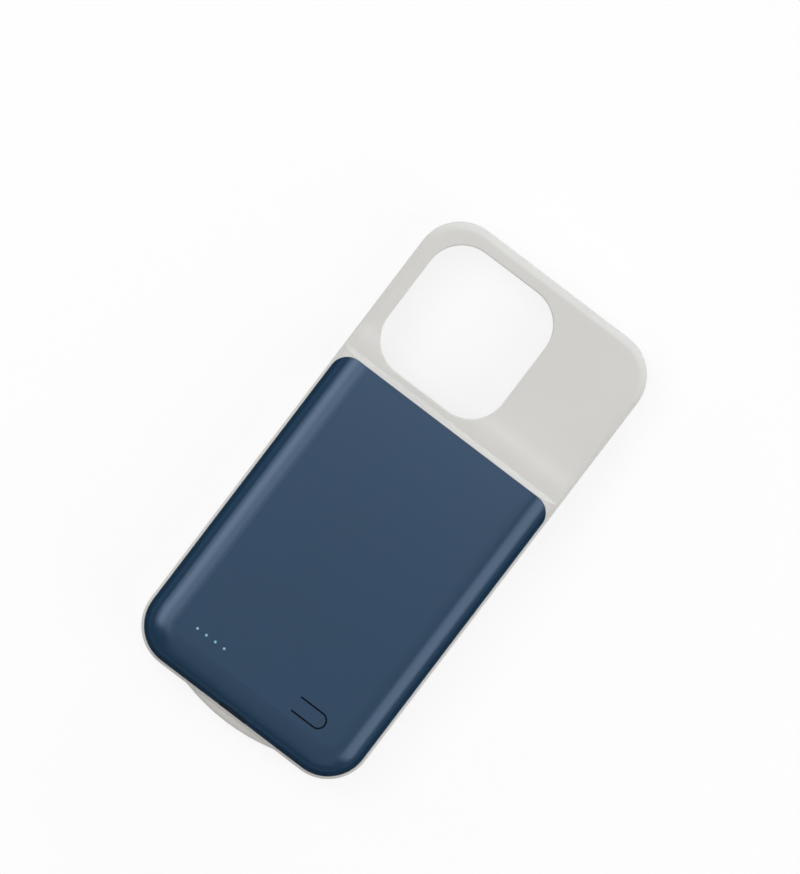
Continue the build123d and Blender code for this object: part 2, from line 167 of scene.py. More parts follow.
def drawnMetalGroup():
    # rolled or drawn sheet: fine lines along one axis under a cloudy tarnish
    tree, given, out = startGroup(
        "drawnMetal",
        [
            ("Colour", "NodeSocketColor", (0.6, 0.6, 0.6, 1.0)),
            ("Tarnish", "NodeSocketColor", (0.4, 0.4, 0.4, 1.0)),
            ("Gloss", "NodeSocketFloat", 0.3),
            ("Stretch", "NodeSocketVector", (9000.0, 250.0, 9000.0)),
        ],
        [("Colour", "NodeSocketColor"), ("Roughness", "NodeSocketFloat"), ("Height", "NodeSocketFloat")],
    )
    where = addNode(tree, "ShaderNodeTexCoord")
    stretch = addNode(tree, "ShaderNodeVectorMath", operation="MULTIPLY")
    lines = addNode(tree, "ShaderNodeTexNoise", metalNoise["lines"])
    cloud = addNode(tree, "ShaderNodeTexNoise", metalNoise["cloud"])
    stain = addNode(tree, "ShaderNodeMapRange", metalNoise["stain"])
    stainShare, cleanColour, stainColour, colour = mixColours(tree)
    rough = addNode(tree, "ShaderNodeMath", {1: metalNoise["lineGloss"]}, operation="MULTIPLY_ADD")
    wire(
        tree,
        (where.outputs["Object"], stretch.inputs[0]),
        (given.outputs["Stretch"], stretch.inputs[1]),
        (stretch.outputs[0], lines.inputs["Vector"]),
        (where.outputs["Object"], cloud.inputs["Vector"]),
        (cloud.outputs["Fac"], stain.inputs["Value"]),
        (stain.outputs["Result"], stainShare),
        (given.outputs["Colour"], cleanColour),
        (given.outputs["Tarnish"], stainColour),
        (lines.outputs["Fac"], rough.inputs[0]),
        (given.outputs["Gloss"], rough.inputs[2]),
        (colour, out.inputs["Colour"]),
        (rough.outputs[0], out.inputs["Roughness"]),
        (lines.outputs["Fac"], out.inputs["Height"]),
    )
    return tree


softEdge = 0.00004
noRepeat = 2.0  # a pitch that is wider than the object


def patchGroup():
    # soft-edged box in object space, grown by a radius and repeated along X: 1 inside, 0 outside
    tree, given, out = startGroup(
        "patch",
        [
            ("Centre", "NodeSocketVector", (0.0, 0.0, 0.0)),
            ("Half", "NodeSocketVector", (0.001, 0.001, 0.001)),
            ("Radius", "NodeSocketFloat", 0.0),
            ("Half Pitch", "NodeSocketFloat", noRepeat / 2),
            ("Edge", "NodeSocketFloat", softEdge),
        ],
        [("Mask", "NodeSocketFloat")],
    )
    where = addNode(tree, "ShaderNodeTexCoord")
    offset = addNode(tree, "ShaderNodeVectorMath", operation="SUBTRACT")
    split = addNode(tree, "ShaderNodeSeparateXYZ")
    backEnd = addNode(tree, "ShaderNodeMath", {1: -1.0}, operation="MULTIPLY")
    wrap = addNode(tree, "ShaderNodeMath", operation="WRAP")
    join = addNode(tree, "ShaderNodeCombineXYZ")
    size = addNode(tree, "ShaderNodeVectorMath", operation="ABSOLUTE")
    over = addNode(tree, "ShaderNodeVectorMath", operation="SUBTRACT")
    outside = addNode(tree, "ShaderNodeVectorMath", operation="MAXIMUM")
    far = addNode(tree, "ShaderNodeVectorMath", operation="LENGTH")
    past = addNode(tree, "ShaderNodeMath", operation="SUBTRACT")
    fade = addNode(tree, "ShaderNodeMapRange", {"To Min": 1.0, "To Max": 0.0})
    wire(
        tree,
        (where.outputs["Object"], offset.inputs[0]),
        (given.outputs["Centre"], offset.inputs[1]),
        (offset.outputs[0], split.inputs[0]),
        (split.outputs["X"], wrap.inputs[0]),
        (given.outputs["Half Pitch"], wrap.inputs[1]),
        (given.outputs["Half Pitch"], backEnd.inputs[0]),
        (backEnd.outputs[0], wrap.inputs[2]),
        (wrap.outputs[0], join.inputs["X"]),
        (split.outputs["Y"], join.inputs["Y"]),
        (split.outputs["Z"], join.inputs["Z"]),
        (join.outputs[0], size.inputs[0]),
        (size.outputs[0], over.inputs[0]),
        (given.outputs["Half"], over.inputs[1]),
        (over.outputs[0], outside.inputs[0]),
        (outside.outputs[0], far.inputs[0]),
        (far.outputs["Value"], past.inputs[0]),
        (given.outputs["Radius"], past.inputs[1]),
        (past.outputs[0], fade.inputs["Value"]),
        (given.outputs["Edge"], fade.inputs["From Max"]),
        (fade.outputs["Result"], out.inputs["Mask"]),
    )
    return tree


laminate = {
    "tracks": {"Mortar Size": 0.07, "Brick Width": 1.3, "Row Height": 0.34},
    "mask": {
        "Color1": (0.006, 0.030, 0.085, 1.0),
        "Color2": (0.008, 0.037, 0.100, 1.0),
        "Mortar": (0.022, 0.078, 0.165, 1.0),
    },
    "dots": {"Scale": 420.0, "Randomness": 0.75},
    "dotRim": {"From Min": 0.14, "From Max": 0.17, "To Min": 1.0, "To Max": 0.0},
    "tin": (0.62, 0.61, 0.57, 1.0),
    "cutFace": {"From Min": 0.4, "From Max": 0.6, "To Min": 1.0, "To Max": 0.0},
    "cloth": (0.30, 0.26, 0.13, 1.0),
    "gloss": 0.32,
    "cutGloss": 0.35,  # roughness that the cut edges add
    "relief": 0.3,
}


def boardGroup():
    # laminate: solder mask over tracks, tinned dots, and bare glass cloth on the cut edges
    tree, given, out = startGroup(
        "board",
        [("Face", "NodeSocketVector", (0.0, 0.0, 1.0)), ("Track Scale", "NodeSocketFloat", 300.0)],
        [
            ("Colour", "NodeSocketColor"),
            ("Roughness", "NodeSocketFloat"),
            ("Metallic", "NodeSocketFloat"),
            ("Height", "NodeSocketFloat"),
        ],
    )
    where = addNode(tree, "ShaderNodeTexCoord")
    shape = addNode(tree, "ShaderNodeNewGeometry")
    tracks = addNode(tree, "ShaderNodeTexBrick", {**laminate["tracks"], **laminate["mask"]})
    dots = addNode(tree, "ShaderNodeTexVoronoi", laminate["dots"])
    dotMask = addNode(tree, "ShaderNodeMapRange", laminate["dotRim"])
    dotShare, bareColour, _, dottedColour = mixColours(tree, second=laminate["tin"])
    facing = addNode(tree, "ShaderNodeVectorMath", operation="DOT_PRODUCT")
    turned = addNode(tree, "ShaderNodeMath", operation="ABSOLUTE")
    cut = addNode(tree, "ShaderNodeMapRange", laminate["cutFace"])
    cutShare, faceColour, _, colour = mixColours(tree, second=laminate["cloth"])
    glosses = {1: laminate["cutGloss"], 2: laminate["gloss"]}
    rough = addNode(tree, "ShaderNodeMath", glosses, operation="MULTIPLY_ADD")
    faceDots = addNode(tree, "ShaderNodeMath", operation="SUBTRACT", use_clamp=True)
    wire(
        tree,
        (where.outputs["Object"], tracks.inputs["Vector"]),
        (given.outputs["Track Scale"], tracks.inputs["Scale"]),
        (where.outputs["Object"], dots.inputs["Vector"]),
        (dots.outputs["Distance"], dotMask.inputs["Value"]),
        (dotMask.outputs["Result"], dotShare),
        (tracks.outputs["Color"], bareColour),
        (shape.outputs["Normal"], facing.inputs[0]),
        (given.outputs["Face"], facing.inputs[1]),
        (facing.outputs["Value"], turned.inputs[0]),
        (turned.outputs[0], cut.inputs["Value"]),
        (dottedColour, faceColour),
        (cut.outputs["Result"], cutShare),
        (cut.outputs["Result"], rough.inputs[0]),
        (dotMask.outputs["Result"], faceDots.inputs[0]),
        (cut.outputs["Result"], faceDots.inputs[1]),
        (colour, out.inputs["Colour"]),
        (rough.outputs[0], out.inputs["Roughness"]),
        (faceDots.outputs[0], out.inputs["Metallic"]),
        (tracks.outputs["Fac"], out.inputs["Height"]),
    )
    return tree


mouldedSkin = mouldedSkinGroup()
drawnMetal = drawnMetalGroup()
patch = patchGroup()
board = boardGroup()


# Finishes: one material from one dictionary of values

bumpDepth = {"grain": 0.00002, "lines": 0.00001, "tracks": 0.00003, "creases": 0.0003, "foam": 0.0001}
patchRelief = 0.15


def newFinish(name):
    material = bpy.data.materials.new(name)
    material.use_nodes = True
    return material, material.node_tree, material.node_tree.nodes["Principled BSDF"]


def addSkin(tree, values):
    labels = {"drift": "Drift", "gloss": "Gloss", "glossDrift": "Gloss Drift", "grain": "Grain Scale"}
    inputs = {label: values[key] for key, label in labels.items() if key in values}
    inputs["Colour"] = (*values["colour"], 1.0)
    return addNode(tree, "ShaderNodeGroup", inputs, node_tree=mouldedSkin)


def addPatch(tree, values):
    inputs = {
        "Centre": values["centre"],
        "Half": values["half"],
        "Radius": values.get("radius", 0.0),
        "Half Pitch": values.get("pitch", noRepeat) / 2,
        "Edge": values.get("edge", softEdge),
    }
    return addNode(tree, "ShaderNodeGroup", inputs, node_tree=patch).outputs["Mask"]


def addRamp(tree, low, high):
    ramp = addNode(tree, "ShaderNodeValToRGB")
    for stop, colour in zip(ramp.color_ramp.elements, (low, high)):
        stop.color = (*colour, 1.0)
    return ramp


def addBump(tree, surface, height, strength, kind):
    relief = addNode(tree, "ShaderNodeBump", {"Strength": strength, "Distance": bumpDepth[kind]})
    wire(tree, (height, relief.inputs["Height"]), (relief.outputs["Normal"], surface.inputs["Normal"]))


def mouldedPlastic(name, values):
    material, tree, surface = newFinish(name)
    skin = addSkin(tree, values)
    colour, gloss = skin.outputs["Colour"], skin.outputs["Roughness"]
    # a rougher patch whose colour is darkened: painted shade, not the plastic's own colour
    if "dullWithPaintedShade" in values:
        dullWithPaintedShade = values["dullWithPaintedShade"]
        mask = addPatch(tree, dullWithPaintedShade)
        colourShare, skinColour, _, paintedShadeColour = mixColours(tree, second=(*dullWithPaintedShade["colour"], 1.0))
        glossShare, skinGloss, _, dulledGloss = mixValues(tree, second=dullWithPaintedShade["gloss"])
        wire(tree, (mask, colourShare), (colour, skinColour), (mask, glossShare), (gloss, skinGloss))
        colour, gloss = paintedShadeColour, dulledGloss
    surface.inputs["IOR"].default_value = values["ior"]
    surface.inputs["Specular IOR Level"].default_value = values["shine"]
    surface.inputs["Specular Tint"].default_value = (*values["shineTint"], 1.0)
    wire(tree, (colour, surface.inputs["Base Color"]), (gloss, surface.inputs["Roughness"]))
    addBump(tree, surface, skin.outputs["Height"], values["relief"], "grain")
    return material


def metalSheet(name, values):
    material, tree, surface = newFinish(name)
    inputs = {
        "Colour": (*values["colour"], 1.0),
        "Tarnish": (*values["tarnish"], 1.0),
        "Gloss": values["gloss"],
        "Stretch": values["stretch"],
    }
    sheet = addNode(tree, "ShaderNodeGroup", inputs, node_tree=drawnMetal)
    surface.inputs["Metallic"].default_value = 1.0
    wire(
        tree,
        (sheet.outputs["Colour"], surface.inputs["Base Color"]),
        (sheet.outputs["Roughness"], surface.inputs["Roughness"]),
    )
    addBump(tree, surface, sheet.outputs["Height"], values["relief"], "lines")
    return material


def circuitBoard(name, face):
    material, tree, surface = newFinish(name)
    skin = addNode(tree, "ShaderNodeGroup", {"Face": face}, node_tree=board)
    wire(
        tree,
        (skin.outputs["Colour"], surface.inputs["Base Color"]),
        (skin.outputs["Roughness"], surface.inputs["Roughness"]),
        (skin.outputs["Metallic"], surface.inputs["Metallic"]),
    )
    addBump(tree, surface, skin.outputs["Height"], laminate["relief"], "tracks")
    return material


def patchedPart(name, values):
    # two moulded or plated skins on one solid, parted by a box mask; the patch may glow
    material, tree, surface = newFinish(name)
    mask = addPatch(tree, values)
    ground, inlay = addSkin(tree, values["ground"]), addSkin(tree, values["patch"])
    colourShare, groundColour, inlayColour, colour = mixColours(tree)
    glossShare, groundGloss, inlayGloss, gloss = mixValues(tree)
    wire(
        tree,
        (mask, colourShare),
        (ground.outputs["Colour"], groundColour),
        (inlay.outputs["Colour"], inlayColour),
        (colour, surface.inputs["Base Color"]),
        (mask, glossShare),
        (ground.outputs["Roughness"], groundGloss),
        (inlay.outputs["Roughness"], inlayGloss),
        (gloss, surface.inputs["Roughness"]),
    )
    addBump(tree, surface, ground.outputs["Height"], patchRelief, "grain")
    metals = values["ground"]["metal"], values["patch"]["metal"]
    surface.inputs["Metallic"].default_value = metals[0]
    if metals[0] != metals[1]:
        metal = addNode(tree, "ShaderNodeMapRange", {"To Min": metals[0], "To Max": metals[1]})
        wire(tree, (mask, metal.inputs["Value"]), (metal.outputs["Result"], surface.inputs["Metallic"]))
    if "glow" in values:
        glowShare, _, _, glow = mixColours(tree, second=(*values["glow"], 1.0))
        wire(tree, (mask, glowShare), (glow, surface.inputs["Emission Color"]))
        surface.inputs["Emission Strength"].default_value = values["glowStrength"]
    return material


def pouchFoil(name, values):
    # laminated foil: creases where it was drawn over the cell, and a faint cloudy sheen
    material, tree, surface = newFinish(name)
    where = addNode(tree, "ShaderNodeTexCoord")
    creases = addNode(tree, "ShaderNodeTexVoronoi", values["creases"], feature="DISTANCE_TO_EDGE")
    sag = addNode(tree, "ShaderNodeTexNoise", values["sag"])
    tone = addRamp(tree, values["low"], values["high"])
    rough = addNode(tree, "ShaderNodeMapRange", values["gloss"])
    height = addNode(tree, "ShaderNodeMath", {1: values["creaseShare"]}, operation="MULTIPLY_ADD")
    surface.inputs["Metallic"].default_value = values["metal"]
    wire(
        tree,
        (where.outputs["Object"], creases.inputs["Vector"]),
        (where.outputs["Object"], sag.inputs["Vector"]),
        (sag.outputs["Fac"], tone.inputs["Fac"]),
        (tone.outputs["Color"], surface.inputs["Base Color"]),
        (sag.outputs["Fac"], rough.inputs["Value"]),
        (rough.outputs["Result"], surface.inputs["Roughness"]),
        (creases.outputs["Distance"], height.inputs[0]),
        (sag.outputs["Fac"], height.inputs[2]),
    )
    addBump(tree, surface, height.outputs[0], values["relief"], "creases")
    return material


def foamTape(name, values):
    material, tree, surface = newFinish(name)
    where = addNode(tree, "ShaderNodeTexCoord")
    cells = addNode(tree, "ShaderNodeTexVoronoi", values["cells"])
    tone = addRamp(tree, values["hollow"], values["wall"])
    surface.inputs["Roughness"].default_value = values["gloss"]
    wire(
        tree,
        (where.outputs["Object"], cells.inputs["Vector"]),
        (cells.outputs["Distance"], tone.inputs["Fac"]),
        (tone.outputs["Color"], surface.inputs["Base Color"]),
    )
    addBump(tree, surface, cells.outputs["Distance"], values["relief"], "foam")
    return material


def dress(material, *nodes):
    for node in nodes:
        for place in cadNodes[node].material_slots:
            place.material = material


plainShine = {"ior": 1.5, "shine": 0.5, "shineTint": (1.0, 1.0, 1.0)}
paleShell = {
    **plainShine, "colour": (0.615, 0.600, 0.573), "drift": 0.012, "gloss": 0.55, "glossDrift": 0.05,
    "grain": 2400.0, "relief": 0.12, "ior": 1.46, "shine": 0.4,
}
socketMouth = {"width": 0.00948, "height": 0.0038, "inset": 0.0008, "reach": 0.0030, "margin": 0.00001}
socketAxis = middleOf("charge_port_shell")
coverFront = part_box("battery_cover")[0].y
blueLid = {
    **plainShine, "colour": (0.0068, 0.031, 0.067), "drift": 0.03, "gloss": 0.26, "glossDrift": 0.012,
    "grain": 3000.0, "relief": 0.03, "shine": 1.0, "shineTint": (0.58, 0.74, 1.0),
    "dullWithPaintedShade": {  # the socket opening's walls: rougher, and their colour darkened as painted shade in the opening
        "centre": (socketAxis.x, coverFront + socketMouth["inset"], socketAxis.z),
        "half": ((socketMouth["width"] - socketMouth["height"]) / 2, socketMouth["reach"], 0.0),
        "radius": socketMouth["height"] / 2 + socketMouth["margin"],
        "gloss": 0.85,
        "colour": (0.004, 0.014, 0.028),
    },
}
dress(mouldedPlastic("paleShell", paleShell), "case_frame")
dress(mouldedPlastic("blueLid", blueLid), "battery_cover", "button_tongue")
print("main finishes done")

whiteKey = {
    **plainShine, "colour": (0.72, 0.71, 0.67), "drift": 0.02, "gloss": 0.42, "glossDrift": 0.05,
    "grain": 6000.0, "relief": 0.10, "ior": 1.49,
}
blackResin = {
    **plainShine, "colour": (0.016, 0.016, 0.018), "drift": 0.10, "gloss": 0.46, "glossDrift": 0.08,
    "grain": 7000.0, "relief": 0.20,
}
greyClip = {
    **plainShine, "colour": (0.17, 0.17, 0.175), "drift": 0.03, "gloss": 0.50, "glossDrift": 0.05,
    "grain": 5000.0, "relief": 0.15, "ior": 1.48,
}
coilBlock = {
    **plainShine, "colour": (0.045, 0.045, 0.050), "drift": 0.22, "gloss": 0.62, "glossDrift": 0.12,
    "grain": 9000.0, "relief": 0.35, "ior": 1.6,
}
redJacket = {
    **plainShine, "colour": (0.42, 0.012, 0.012), "drift": 0.05, "gloss": 0.38, "glossDrift": 0.06,
    "grain": 3500.0, "relief": 0.12,
}
blackJacket = {**redJacket, "colour": (0.014, 0.014, 0.015), "drift": 0.08, "gloss": 0.40}
dress(mouldedPlastic("whiteKey", whiteKey), "tact_switch_plunger")
dress(mouldedPlastic("blackResin", blackResin), "charge_port_insert", "plug_insert")
dress(mouldedPlastic("greyClip", greyClip), "plug_retainer")
dress(mouldedPlastic("coilBlock", coilBlock), "boost_inductor")
dress(mouldedPlastic("redJacket", redJacket), "lead_positive")
dress(mouldedPlastic("blackJacket", blackJacket), "lead_negative")

nickelSheet = {
    "colour": (0.56, 0.55, 0.53), "tarnish": (0.42, 0.40, 0.37), "gloss": 0.20, "relief": 0.12,
    "stretch": (9000.0, 300.0, 9000.0),
}
darkNickel = {**nickelSheet, "colour": (0.20, 0.20, 0.20), "tarnish": (0.13, 0.13, 0.13), "gloss": 0.34}
cellFoil = {
    "low": (0.34, 0.35, 0.37), "high": (0.50, 0.51, 0.53), "gloss": {"To Min": 0.38, "To Max": 0.56},
    "metal": 0.9, "relief": 0.25, "creases": {"Scale": 130.0}, "creaseShare": 0.5,
    "sag": {"Scale": 60.0, "Detail": 4.0, "Roughness": 0.6},
}
tapeFoam = {
    "hollow": (0.030, 0.030, 0.032), "wall": (0.085, 0.085, 0.088), "gloss": 0.85, "relief": 0.5,
    "cells": {"Scale": 4200.0},
}
dress(metalSheet("nickelSheet", nickelSheet), "plug_shell", "cell_tabs")
dress(metalSheet("darkNickel", darkNickel), "charge_port_shell")
dress(circuitBoard("blueBoard", (0.0, 0.0, 1.0)), "main_board", "protection_board")
dress(circuitBoard("blueBoardUpright", (0.0, 1.0, 0.0)), "plug_board")
dress(pouchFoil("cellFoil", cellFoil), "battery_cell")
dress(foamTape("tapeFoam", tapeFoam), "cell_tape")

tin = {"colour": (0.60, 0.60, 0.58), "drift": 0.04, "gloss": 0.30, "grain": 6000.0, "metal": 1.0}
darkEpoxy = {"colour": (0.018, 0.018, 0.020), "drift": 0.12, "gloss": 0.48, "grain": 9000.0, "metal": 0.0}
chipCeramic = {
    "centre": middleOf("board_capacitors"), "half": (0.00056, 0.0100, 0.0100), "edge": 0.00006,
    "ground": tin,
    "patch": {"colour": (0.33, 0.21, 0.11), "drift": 0.08, "gloss": 0.45, "grain": 8000.0, "metal": 0.0},
}
switchCan = {
    "centre": middleOf("tact_switch_body", 1.0), "half": (0.0030, 0.0030, 0.00042),
    "ground": darkEpoxy,
    "patch": {"colour": (0.55, 0.55, 0.54), "drift": 0.05, "gloss": 0.32, "grain": 7000.0, "metal": 1.0},
}
chipPads = {
    "centre": middleOf("controller_chip", 0.0), "half": (0.00013, 0.0100, 0.00022), "pitch": 0.00050,
    "edge": 0.00003, "ground": darkEpoxy, "patch": tin,
}
flexTracks = {
    "centre": middleOf("flex_cable"), "half": (0.00016, 0.0200, 0.0200), "pitch": 0.00060, "edge": 0.00005,
    "ground": {"colour": (0.42, 0.19, 0.025), "drift": 0.05, "gloss": 0.26, "grain": 4000.0, "metal": 0.0},
    "patch": {"colour": (0.52, 0.26, 0.07), "drift": 0.05, "gloss": 0.24, "grain": 4000.0, "metal": 0.35},
}
lightPitch = 0.00312
oneLight = middleOf("status_leds") + Vector((lightPitch / 2, 0.0, 0.0))  # the row's middle lies between two
lightChip = {
    "centre": oneLight, "half": (0.00042, 0.00028, 0.0010), "pitch": lightPitch, "edge": 0.00006,
    "ground": {"colour": (0.72, 0.72, 0.70), "drift": 0.02, "gloss": 0.45, "grain": 8000.0, "metal": 0.0},
    "patch": {"colour": (0.62, 0.55, 0.16), "drift": 0.05, "gloss": 0.30, "grain": 9000.0, "metal": 0.0},
}
guideGlow = {
    "centre": oneLight, "half": (0.00005, 0.00005, 0.0100), "pitch": lightPitch, "edge": 0.00042,
    "ground": {"colour": (0.020, 0.120, 0.145), "drift": 0.02, "gloss": 0.30, "grain": 3000.0, "metal": 0.0},
    "patch": {"colour": (0.16, 0.34, 0.40), "drift": 0.02, "gloss": 0.30, "grain": 3000.0, "metal": 0.0},
    "glow": (0.24, 0.38, 0.45), "glowStrength": 0.8,
}
dress(patchedPart("chipCeramic", chipCeramic), "board_capacitors")
dress(patchedPart("lightChip", lightChip), "status_leds")
dress(patchedPart("switchCan", switchCan), "tact_switch_body")
dress(patchedPart("chipPads", chipPads), "controller_chip")
dress(patchedPart("flexTracks", flexTracks), "flex_cable")
dress(patchedPart("guideGlow", guideGlow), "light_guide")
print("inner finishes done")


# Repeated pieces: a unit mesh set out on a grid of points

def gridTree():
    tree = bpy.data.node_groups.new("gridOfUnits", "GeometryNodeTree")
    sockets = {}
    for label, kind in (
        ("Unit", "NodeSocketGeometry"),
        ("Columns", "NodeSocketInt"),
        ("Rows", "NodeSocketInt"),
        ("Column Run", "NodeSocketFloat"),
        ("Row Run", "NodeSocketFloat"),
        ("Centre", "NodeSocketVector"),
        ("Turn", "NodeSocketFloat"),
        ("Seed", "NodeSocketInt"),
        ("Finish", "NodeSocketMaterial"),
    ):
        sockets[label] = tree.interface.new_socket(label, in_out="INPUT", socket_type=kind).identifier
    tree.interface.new_socket("Pieces", in_out="OUTPUT", socket_type="NodeSocketGeometry")
    given = tree.nodes.new("NodeGroupInput")
    out = tree.nodes.new("NodeGroupOutput")
    points = addNode(tree, "GeometryNodeMeshGrid")
    shift = addNode(tree, "GeometryNodeTransform")
    chance = addNode(tree, "FunctionNodeRandomValue", data_type="FLOAT")
    spin = addNode(tree, "ShaderNodeCombineXYZ")
    turn = addNode(tree, "FunctionNodeEulerToRotation")
    place = addNode(tree, "GeometryNodeInstanceOnPoints")
    real = addNode(tree, "GeometryNodeRealizeInstances")
    finish = addNode(tree, "GeometryNodeSetMaterial")
    wire(
        tree,
        (given.outputs["Columns"], points.inputs["Vertices X"]),
        (given.outputs["Rows"], points.inputs["Vertices Y"]),
        (given.outputs["Column Run"], points.inputs["Size X"]),
        (given.outputs["Row Run"], points.inputs["Size Y"]),
        (points.outputs["Mesh"], shift.inputs["Geometry"]),
        (given.outputs["Centre"], shift.inputs["Translation"]),
        (given.outputs["Turn"], chance.inputs[3]),
        (given.outputs["Seed"], chance.inputs["Seed"]),
        (chance.outputs[1], spin.inputs["Z"]),
        (spin.outputs[0], turn.inputs[0]),
        (shift.outputs["Geometry"], place.inputs["Points"]),
        (given.outputs["Unit"], place.inputs["Instance"]),
        (turn.outputs[0], place.inputs["Rotation"]),
        (place.outputs["Instances"], real.inputs["Geometry"]),
        (real.outputs["Geometry"], finish.inputs["Geometry"]),
        (given.outputs["Finish"], finish.inputs["Material"]),
        (finish.outputs["Geometry"], out.inputs["Pieces"]),
    )
    return tree, sockets


unitGrid, gridSockets = gridTree()
sharpAngle = math.radians(32)


def setOut(name, unit, material, values):
    piece = bpy.data.objects.new(name, unit)
    scene.collection.objects.link(piece)
    modifier = piece.modifiers.new("grid", "NODES")
    modifier.node_group = unitGrid
    for label, value in {**values, "Finish": material}.items():
        modifier[gridSockets[label]] = value
    shown = piece.evaluated_get(bpy.context.evaluated_depsgraph_get())
    baked = bpy.data.meshes.new_from_object(shown)
    piece.modifiers.clear()
    piece.data = baked
    baked.name = name
    baked.polygons.foreach_set("use_smooth", [True] * len(baked.polygons))
    baked.set_sharp_from_angle(angle=sharpAngle)
    return piece


def barMesh(name, profiles, width, bevel):
    # strips of one width, each drawn as a closed side profile in YZ
    mesh = bpy.data.meshes.new(name)
    form = bmesh.new()
    for profile in profiles:
        face = form.faces.new([form.verts.new((-width / 2, y, z)) for y, z in profile])
        grown = bmesh.ops.extrude_face_region(form, geom=[face])
        moved = [item for item in grown["geom"] if isinstance(item, bmesh.types.BMVert)]
        bmesh.ops.translate(form, verts=moved, vec=(width, 0.0, 0.0))
    bmesh.ops.recalc_face_normals(form, faces=form.faces[:])
    bmesh.ops.bevel(form, geom=form.edges[:], offset=bevel, segments=2, profile=0.5, affect="EDGES")
    form.to_mesh(mesh)
    form.free()
    return mesh


def screwMesh(name, values):
    # countersunk head with a cross recess, rolled thread and a blunt tip; the head faces down
    mesh = bpy.data.meshes.new(name)
    form = bmesh.new()
    sides, steps = values["sides"], values["steps"]
    head, shank, depth = values["headRadius"], values["shankRadius"], values["headDepth"]
    threadEnd = values["length"] - values["tip"]

    def ring(radiusAt, z):
        turns = [math.tau * k / sides for k in range(sides)]
        return [form.verts.new((radiusAt(a) * math.cos(a), radiusAt(a) * math.sin(a), z)) for a in turns]

    def threadRadius(z):
        def radiusAt(a):
            flank = abs(2 * ((z / values["pitch"] - a / math.tau) % 1) - 1)
            return shank - values["threadDepth"] * flank
        return radiusAt

    headRings = [(head - values["rim"], 0.0), (head, values["rim"]), (shank, depth)]
    loops = [ring(lambda a, r=radius: r, z) for radius, z in headRings]
    for k in range(1, steps + 1):
        z = depth + (threadEnd - depth) * k / steps
        loops.append(ring(threadRadius(z), z))
    loops.append(ring(lambda a: shank * values["tipShare"], values["length"]))
    for low, high in zip(loops, loops[1:]):
        for k in range(sides):
            form.faces.new((low[k], low[(k + 1) % sides], high[(k + 1) % sides], high[k]))
    form.faces.new(loops[-1])

    span, arm, narrow = values["recessSpan"], values["recessWidth"] / 2, values["recessTaper"]
    cross = [
        (span, -arm), (span, arm), (arm, arm), (arm, span), (-arm, span), (-arm, arm),
        (-span, arm), (-span, -arm), (-arm, -arm), (-arm, -span), (arm, -span), (arm, -arm),
    ]
    mouth = [form.verts.new((x, y, 0.0)) for x, y in cross]
    floor = [form.verts.new((x * narrow, y * narrow, values["recessDepth"])) for x, y in cross]
    rim = [form.edges.get((loops[0][k], loops[0][(k + 1) % sides])) for k in range(sides)]
    for k in range(len(cross)):
        after = (k + 1) % len(cross)
        form.faces.new((mouth[k], mouth[after], floor[after], floor[k]))
        rim.append(form.edges.get((mouth[k], mouth[after])))
    form.faces.new(floor)
    bmesh.ops.triangle_fill(form, use_beauty=True, edges=rim)
    bmesh.ops.recalc_face_normals(form, faces=form.faces[:])
    form.to_mesh(mesh)
    form.free()
    return mesh


coverScrew = {
    "headRadius": 0.0013, "rim": 0.00006, "headDepth": 0.0006, "shankRadius": 0.0007, "length": 0.0047,
    "tip": 0.0004, "tipShare": 0.45, "pitch": 0.00045, "threadDepth": 0.00013, "sides": 40, "steps": 96,
    "recessSpan": 0.00078, "recessWidth": 0.00030, "recessTaper": 0.72, "recessDepth": 0.00042,
}
screwGrid = {
    "Columns": 2, "Rows": 2, "Column Run": 0.0580, "Row Run": 0.0883,
    "Centre": tuple(middleOf("cover_screws", 0.0)), "Turn": 1.57, "Seed": 11,
}
zincScrew = {
    "colour": (0.44, 0.44, 0.46), "tarnish": (0.30, 0.29, 0.27), "gloss": 0.28, "relief": 0.20,
    "stretch": (5000.0, 5000.0, 900.0),
}
screwUnit = screwMesh("coverScrew", coverScrew)
screws = setOut("coverScrews", screwUnit, metalSheet("zincScrew", zincScrew), screwGrid)
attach(screws, "case")
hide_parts("cover_screws")

goldFinger = {
    "colour": (0.80, 0.56, 0.22), "tarnish": (0.66, 0.43, 0.15), "gloss": 0.18, "relief": 0.10,
    "stretch": (9000.0, 400.0, 9000.0),
}
goldSkin = metalSheet("goldFinger", goldFinger)
fingerGrid = {"Columns": 12, "Rows": 1, "Column Run": 0.0055, "Row Run": 0.0, "Turn": 0.0, "Seed": 1}

socketFinger = {
    "front": 0.00025, "ramp": 0.00012, "back": 0.0044, "lift": 0.00035, "sink": 0.00002, "depth": 0.00005,
    "width": 0.00026, "bevel": 0.000008,
}
socketSpot = middleOf("charge_port_insert")
socketSpot.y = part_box("charge_port_insert")[0].y  # front of the tongue that carries the fingers


def socketProfile(side):
    low = side * (socketFinger["lift"] - socketFinger["sink"])
    high = side * (socketFinger["lift"] + socketFinger["depth"] - socketFinger["sink"])
    front, back = socketFinger["front"], socketFinger["back"]
    return [(front, low), (front + socketFinger["ramp"], high), (back, high), (back, low)]


socketSides = [socketProfile(1), socketProfile(-1)]
socketUnit = barMesh("socketFinger", socketSides, socketFinger["width"], socketFinger["bevel"])
socketGrid = {**fingerGrid, "Centre": tuple(socketSpot)}
socketContacts = setOut("socketContacts", socketUnit, goldSkin, socketGrid)

plugFinger = {
    "lift": 0.00078, "depth": 0.00010, "width": 0.00026, "bevel": 0.000015,
    "line": ((-0.0002, 0.0), (0.0022, 0.0), (0.0035, -0.00014), (0.0043, -0.00026), (0.0050, -0.00008)),
}
plugSpot = middleOf("plug_insert")
plugSpot.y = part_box("plug_insert")[1].y  # face of the block that holds the fingers


def plugProfile(side):
    lift, half = plugFinger["lift"], plugFinger["depth"] / 2
    upper = [(y, side * (lift + z + half)) for y, z in plugFinger["line"]]
    lower = [(y, side * (lift + z - half)) for y, z in plugFinger["line"]]
    return upper + lower[::-1]


